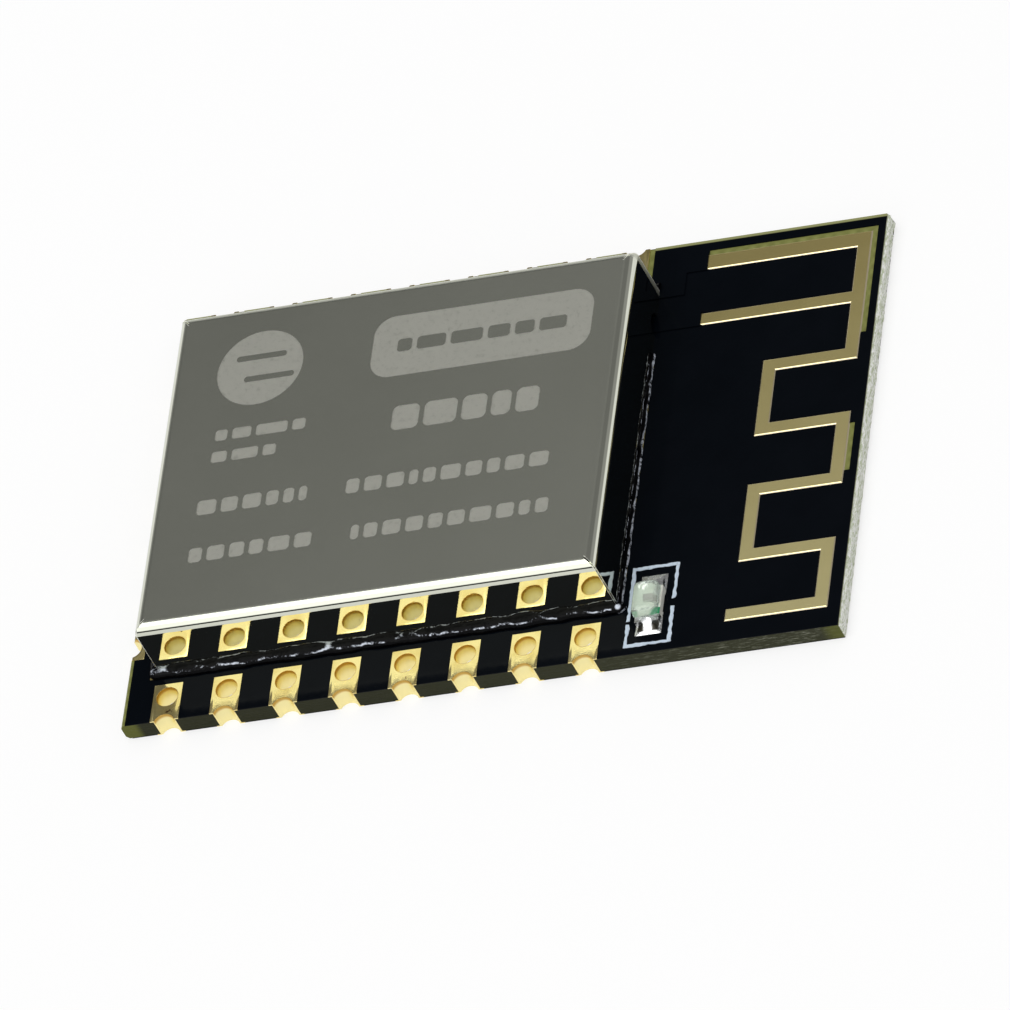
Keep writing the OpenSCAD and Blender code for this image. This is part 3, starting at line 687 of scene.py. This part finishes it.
slot_size, slot_r = (1.7, 0.22), 0.1
marks = panel(x, y, (-0.35, 3.75), (7.4, 2.4), 0.7)
marks = marks - dashes(x, y, -3.2, 2.5, 3.75, 0.5, 1.1, 41)
marks = marks + panel(x, y, (-7.85, 3.7), (2.9, 2.9), 1.45)
marks = marks - panel(x, y, (-7.85, 4.15), slot_size, slot_r)
marks = marks - panel(x, y, (-7.5, 3.3), slot_size, slot_r)
for start, stop, middle, height, pitch, seed in (
    (-9.05, -6.0, 1.2, 0.42, 0.9, 12),
    (-9.15, -6.9, 0.35, 0.42, 0.9, 19),
    (-3.1, 1.9, 0.85, 0.95, 1.05, 27),
    (-9.33, -5.6, -1.6, 0.56, 0.7, 33),
    (-4.4, 2.5, -1.6, 0.56, 0.7, 57),
    (-9.42, -5.2, -3.45, 0.56, 0.7, 71),
    (-3.9, 2.7, -3.45, 0.56, 0.7, 88),
):
    marks = marks + dashes(x, y, start, stop, middle, height, pitch, seed)
on_top = z.between(can_high.z - 0.02, can_high.z - 0.003)
speckle = place.grain(9, 2, 0.6)
etch = place.grain(6.5, 2, 0.8)
marks = marks * on_top * (etch.between(0.24, 0.5) * 0.4 + 0.6)
mill = place.stretched(0.35, 6, 6).grain(3, 3)
sheen = place.grain(0.25, 2) * 0.8 + speckle * 0.2
can_middle = (can_low + can_high) / 2
in_x = can_high.x - can_middle.x - abs(x - can_middle.x)
in_y = can_high.y - can_middle.y - abs(y - can_middle.y)
# Painted highlight: the cut edges of the corner slits are painted near white.
cut_rim_highlight = 1 - abs(abs(in_x - in_y) - slit * math.sqrt(2)).between(0.008, 0.02)
cut_rim_highlight = cut_rim_highlight * (1 - in_x.between(fold_r, fold_r + 0.04))
dull_rear = y.between(can_high.y - 0.3, can_high.y - 0.2)
bare = sheen.mix(colour(206, 208, 194), colour(222, 224, 210))
finish_with(place, {
    "Base Color": cut_rim_highlight.mix(marks.mix(bare, colour(236, 236, 224)), colour(255, 255, 248)),
    "Metallic": 1.0,
    "Roughness": (
        on_top * (speckle * 0.05 + 0.17) + marks * 0.17 + mill * 0.02 + 0.02
        + (cut_rim_highlight + dull_rear) * 0.45
    ),
    "Normal": (speckle * 0.5 + mill * 0.5).bumps(0.0006),
})
even_normals(add_piece(
    "folded_shield", sharpened(bm, 25), nickel_silver, ["shield_can"]
))


# ---- Solder bead --------------------------------------------------------------------------
# The can's foot is soldered to its land. Dark flux has run over the bead, which is lumpy and
# glossy along the long rows and a thin rough line on the antenna side. Bluish white streaks along
# the rows, a rough line on the antenna side and a blob at the front right corner are painted glints.
bead_w, bead_side_w, bead_h = 0.25, 0.12, 0.16
bead_step, corner_steps, arc_steps = 0.07, 10, 8
bead_end = feed_y - 1.15


def grow(bm, ring, matrix, count):
    """Extrudes the ring of edges again and again, moved by the matrix each time."""
    for _ in range(count):
        made = bmesh.ops.extrude_edge_only(bm, edges=ring)["geom"]
        ring = [e for e in made if isinstance(e, bmesh.types.BMEdge)
                and all(v in made for v in e.verts)]
        ends = list({v for e in ring for v in e.verts})
        ring = [e for e in ring if all(v in ends for v in e.verts)]
        bmesh.ops.transform(bm, matrix=matrix, verts=ends)
    return ring


bm = bmesh.new()
start = Vector((can_high.x, bead_end, land_top))
profile = [bm.verts.new(start + Vector((bead_w * math.cos(a), 0, bead_h * math.sin(a))))
           for a in (math.pi / 2 * i / arc_steps for i in range(arc_steps + 1))]
profile.insert(0, bm.verts.new(start))
first = [bm.edges.new((profile[i - 1], profile[i])) for i in range(len(profile))]
ring = first
corners = [
    (Vector((can_high.x, can_low.y, 0)), Vector((0, -1, 0)), bead_end - can_low.y),
    (Vector((can_low.x, can_low.y, 0)), Vector((-1, 0, 0)), can_high.x - can_low.x),
    (Vector((can_low.x, can_high.y, 0)), Vector((0, 1, 0)), can_high.y - can_low.y),
    (None, Vector((1, 0, 0)), can_high.x - can_low.x),
]
for corner, way, length in corners:
    count = round(length / bead_step)
    ring = grow(bm, ring, Matrix.Translation(way * length / count), count)
    if corner is not None:
        swing = (
            Matrix.Translation(corner)
            @ Matrix.Rotation(-math.pi / 2 / corner_steps, 4, "Z")
            @ Matrix.Translation(-corner)
        )
        ring = grow(bm, ring, swing, corner_steps)
for rim in (first, ring):
    bmesh.ops.contextual_create(bm, geom=rim)
bmesh.ops.remove_doubles(bm, verts=bm.verts, dist=1e-6)
for vert in bm.verts:
    x, y, z = vert.co
    wall = Vector((
        min(max(x, can_low.x), can_high.x), min(max(y, can_low.y), can_high.y), land_top
    ))
    reach = vert.co - wall
    if x > can_high.x + 1e-6 and y > can_low.y:
        reach.x *= bead_side_w / bead_w
        reach.z *= 0.6
        swell = 1.02 + noise.noise(vert.co * 2.1) * 0.3 + noise.noise(vert.co * 7) * 0.25
    else:
        swell = 1.17 + noise.noise(vert.co * 1.1) * 0.25 + noise.noise(vert.co * 2.9) * 0.1
    vert.co = wall + reach * swell
bmesh.ops.recalc_face_normals(bm, faces=bm.faces)
bm.transform(Matrix.Scale(mm, 4))

flux_bead, place = new_material("flux_bead")
x, y, z = place.split()
wave = place.node(
    "ShaderNodeTexNoise", {"noise_dimensions": "1D"},
    {"W": x + y, "Scale": 1.1, "Detail": 3, "Roughness": 0.6},
)
on_side = x.between(can_high.x + 0.015, can_high.x + 0.03)
broken = place.grain(2.6, 4, 0.75).between(0.49, 0.6)
# Painted glints: bluish white streaks along the rows, a rough side line and a corner blob.
long_streak = 1 - abs(z - (wave * 0.12 + 0.79)).between(0.004, 0.02)
side_streak = 1 - z.between(0.75, 0.77)
from_corner = place.node(
    "ShaderNodeVectorMath", {"operation": "DISTANCE"},
    {0: place, 1: (can_high.x + 0.03, can_low.y - 0.1, land_top + 0.12)}, 1,
)
blob = 1 - from_corner.between(0.07, 0.12)
rough_line = side_streak * place.grain(7, 3, 0.7).between(0.36, 0.6)
painted_glints = (long_streak * broken * (1 - on_side)).larger(rough_line * on_side * 0.9).larger(blob)
finish_with(place, {
    "Base Color": painted_glints.mix(colour(3, 3, 5), colour(196, 202, 214)),
    "Metallic": painted_glints * 0.3,
    "Roughness": place.grain(3, 2) * 0.1 + painted_glints * 0.25 + 0.06,
    "Normal": (place.grain(2.5, 2) * 0.7 + place.grain(9, 2) * 0.3).bumps(0.04),
    "Specular IOR Level": 0.05,
})
even_normals(add_piece(
    "flux_covered_bead", sharpened(bm, 60), flux_bead, ["shield_solder"]
))

# ---- Indicator light ----------------------------------------------------------------------
# A surface-mount light: a white base between two wrapped tin terminals, a bare die, a green
# mark at one end and a milky lens moulded over them.
tin, place = new_material("bright_tin")
wear = place.grain(6, 3)
finish_with(place, {
    "Base Color": wear.mix(colour(196, 198, 200), colour(232, 233, 232)),
    "Metallic": 1.0,
    "Roughness": wear * 0.25 + 0.14,
    "Normal": place.grain(9, 3).bumps(0.01),
})
dress(tin, "tin", "led_terminals", "led_lands", "radio_chip_leads", "memory_chip_leads",
      "small_part_ends", "inner_solder")

white_base, place = new_material("white_base")
finish_with(place, {
    "Base Color": place.grain(5).mix(colour(222, 222, 210), colour(240, 240, 232)),
    "Roughness": place.grain(9) * 0.2 + 0.45,
})
dress(white_base, "white_laminate", "led_base")

lens_low, lens_high = (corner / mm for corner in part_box("led_lens"))
lens_middle = (lens_low + lens_high) / 2
green_mark, place = new_material("green_mark")
x, y, z = place.split()
from_middle = x - lens_middle.x
green_print = from_middle.between(0.04, 0.14) + (1 - from_middle.between(-0.34, -0.26)) * 0.6
finish_with(place, {
    "Base Color": green_print.mix(
        colour(206, 214, 200), place.grain(8).mix(colour(8, 122, 74), colour(24, 158, 104))
    ),
    "Roughness": place.grain(9) * 0.2 + 0.35,
})
dress(green_mark, "green_ink", "led_mark")

die_face, place = new_material("die_face")
finish_with(place, {
    "Base Color": place.grain(8).mix(colour(158, 158, 152), colour(186, 184, 176)),
    "Roughness": place.grain(12) * 0.2 + 0.2,
})
dress(die_face, "light_die", "led_die")

lens_r, lens_shift = 0.2, -0.07
bm = bmesh.new()
block(bm, lens_low, lens_high)
top = [v for v in bm.verts if v.co.z > lens_high.z - 1e-4]
from_lens = Matrix.Translation(-lens_middle)
bmesh.ops.scale(bm, vec=(1.06, 1.04, 1), verts=bm.verts, space=from_lens)
bmesh.ops.scale(bm, vec=(0.92, 0.94, 1), verts=top, space=from_lens)
bmesh.ops.translate(bm, vec=(lens_shift, 0, 0), verts=bm.verts)
rounded = [e for e in bm.edges if any(v in top for v in e.verts)]
bmesh.ops.bevel(bm, geom=rounded, offset=lens_r, offset_type="OFFSET", segments=7, profile=0.5,
                affect="EDGES", clamp_overlap=True, material=-1)
bmesh.ops.recalc_face_normals(bm, faces=bm.faces)
bm.transform(Matrix.Scale(mm, 4))
milky_lens, place = new_material("milky_lens")
haze = place.grain(3.5, 3)
# Painted highlight: a rippled white spot near the lens's rear top glows through the emission.
glint_at = (lens_middle.x - 0.1, lens_middle.y + 0.31, lens_high.z)
from_glint = place.node(
    "ShaderNodeVectorMath", {"operation": "DISTANCE"}, {0: place, 1: glint_at}, 1
)
ripple = place.stretched(2.5, 1, 1).grain(5, 2).between(0.4, 0.6)
glint = (1 - from_glint.between(0.06, 0.24)) * ripple
finish_with(place, {
    "Base Color": haze.mix(colour(214, 226, 216), colour(244, 250, 244)),
    "Emission Color": glint.mix(colour(0, 0, 0), colour(255, 255, 255)),
    "Emission Strength": 0.5,
    "Roughness": haze * 0.24 + 0.03,
    "Transmission Weight": 0.82,
    "IOR": 1.5,
    "Normal": place.grain(4, 2).bumps(0.03),
})
even_normals(add_piece("moulded_lens", sharpened(bm, 50), milky_lens, ["led_lens"]))

lands_low, lands_high = (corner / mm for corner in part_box("led_lands"))
ends_low, ends_high = (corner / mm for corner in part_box("led_terminals"))
notch_r, terminal_l, fillet_steps, land_half = 0.16, 0.25, 30, 0.435
ridge_h, toe_h = 0.19, 0.045
fillets = bmesh.new()
for way, foot, toe in ((-1, ends_low.y, lands_low.y), (1, ends_high.y, lands_high.y)):
    sheet = bmesh.new()
    bmesh.ops.create_grid(sheet, x_segments=fillet_steps, y_segments=fillet_steps, size=1)
    for vert in sheet.verts:
        across, down = vert.co.x, (vert.co.y + 1) / 2
        start = foot - way * math.sqrt(max(0, notch_r ** 2 - (across * land_half) ** 2))
        if abs(across) > 0.92:
            start = foot - way * terminal_l
        ridge = (1 - down) ** 1.6 * max(0, 1 - 1.5 * abs(across) ** 1.3) * ridge_h
        toe_step = toe_h * (1 - down ** 4) * (1 - abs(across) ** 8)
        vert.co = Vector((
            (ends_low.x + ends_high.x) / 2 + across * land_half,
            start + (toe - start) * down,
            min(ends_high.z + 0.003, land_top + 0.004 + toe_step + ridge),
        ))
    grown = bmesh.ops.extrude_face_region(sheet, geom=sheet.faces[:])["geom"]
    for vert in grown:
        if isinstance(vert, bmesh.types.BMVert):
            vert.co.z = land_top
    bmesh.ops.recalc_face_normals(sheet, faces=sheet.faces)
    part = bpy.data.meshes.new("part")
    sheet.to_mesh(part)
    sheet.free()
    fillets.from_mesh(part)
    bpy.data.meshes.remove(part)
fillets.transform(Matrix.Scale(mm, 4))
fillet_tin, place = new_material("tin_with_painted_dark_facets")
x, y, z = place.split()
crust = place.grain(7, 3, 0.7)
# Painted dark reflection: the fillets' side facets are painted dark grey, leaving a bright middle.
aside = abs(x - (ends_low.x + ends_high.x) / 2) + (crust - 0.5) * 0.12
dark_facets = aside.between(0.1, 0.17) * (1 - aside.between(0.33, 0.37))
dark_facet_y = ends_low.y - 0.09
dark_facets = dark_facets * (1 - abs(y - dark_facet_y + crust * 0.04).between(0.1, 0.15))
clean = crust.mix(colour(196, 198, 200), colour(236, 237, 236))
finish_with(place, {
    "Base Color": dark_facets.mix(clean, colour(58, 56, 50)),
    "Metallic": 1.0,
    "Roughness": crust * 0.25 + 0.12,
    "Normal": crust.bumps(0.02),
})
even_normals(add_piece("light_fillets", sharpened(fillets, 40), fillet_tin, ["led_solder"]))

# ---- Printed bracket ----------------------------------------------------------------------
# The white line round the light is screen-printed ink in seven strokes, with the ragged rim
# that the screen's mesh leaves.
ink_low, ink_high = (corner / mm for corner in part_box("printed_bracket"))
stroke_w, stroke_step, ragged = 0.11, 0.06, 0.045
left, right = ink_low.x + stroke_w / 2, ink_high.x - stroke_w / 2
front, rear = ink_low.y + stroke_w / 2, ink_high.y - stroke_w / 2
centre_y = (front + rear) / 2
rear_step_x, rear_step = left + 0.43, 0.01
right_gap, left_gap_y, left_gap = 0.2, front + 0.9, 0.12
strokes = (
    ((left, rear), (rear_step_x - rear_step, rear)),
    ((rear_step_x + rear_step, rear), (right, rear)),
    ((right, rear), (right, centre_y + right_gap)),
    ((right, centre_y - right_gap), (right, front)),
    ((left, front), (right, front)),
    ((left, front), (left, left_gap_y - left_gap)),
    ((left, left_gap_y + left_gap), (left, rear)),
)
bm = bmesh.new()
for start, end in strokes:
    start, end = Vector((*start, 0)), Vector((*end, 0))
    length = (end - start).length
    along = (end - start) / length
    turn = Matrix.Rotation(math.atan2(along.y, along.x), 4, "Z")
    line = bmesh.new()
    half = stroke_w / 2
    block(line, (-half, -half, ink_low.z), (length + half, half, ink_high.z))
    sliced(line, (1, 0, 0), [stroke_step * i for i in range(int(length / stroke_step) + 1)],
           lambda middle: True)
    line.transform(Matrix.Translation(start) @ turn)
    for vert in line.verts:
        seat = Vector((vert.co.x * 6, vert.co.y * 6, 3))
        vert.co.x += ragged * noise.noise(seat)
        vert.co.y += ragged * noise.noise(seat + Vector((0, 0, 9)))
        if vert.co.z > ink_low.z + 1e-4:
            vert.co.z -= 0.004 * abs(noise.noise(seat))
    part = bpy.data.meshes.new("part")
    line.to_mesh(part)
    line.free()
    bm.from_mesh(part)
    bpy.data.meshes.remove(part)
bm.transform(Matrix.Scale(mm, 4))
white_ink, place = new_material("white_ink")
finish_with(place, {
    "Base Color": place.grain(9, 3).mix(colour(186, 204, 222), colour(222, 234, 246)),
    "Roughness": place.grain(12) * 0.2 + 0.45,
    "Normal": place.grain(30).bumps(0.004),
})
add_piece("ink_strokes", bm, white_ink, ["printed_bracket"])

# ---- Radio parts under the can ------------------------------------------------------------
# Moulded black chips, tan and blue ceramic parts, black resistors and a lidded crystal are
# soldered to the board where the can covers them.
mould, place = new_material("black_compound")
finish_with(place, {
    "Base Color": place.grain(12).mix(colour(28, 28, 30), colour(44, 44, 46)),
    "Roughness": place.grain(20) * 0.2 + 0.5,
    "Normal": place.grain(30).bumps(0.004),
})
dress(mould, "black_compound", "radio_chip", "memory_chip")
for slot, dark, light, names in (
    ("tan_ceramic", (150, 118, 84), (186, 154, 116),
     ("crystal_base", "crystal_cap_1", "crystal_cap_2", "supply_cap_1", "supply_cap_2",
      "match_cap")),
    ("blue_ceramic", (120, 140, 170), (160, 178, 202), ("match_inductor",)),
    ("black_glaze", (24, 24, 28), (48, 48, 54), ("pull_up_1", "pull_up_2")),
):
    body, place = new_material(slot)
    finish_with(place, {
        "Base Color": place.grain(10).mix(colour(*dark), colour(*light)),
        "Roughness": place.grain(14) * 0.2 + 0.35,
    })
    dress(body, slot, *names)
lid, place = new_material("bright_lid")
finish_with(place, {
    "Base Color": place.grain(4).mix(colour(206, 200, 180), colour(226, 222, 206)),
    "Metallic": 1.0,
    "Roughness": place.stretched(1, 8, 1).grain(6) * 0.2 + 0.15,
})
dress(lid, "bright_lid", "crystal_lid")
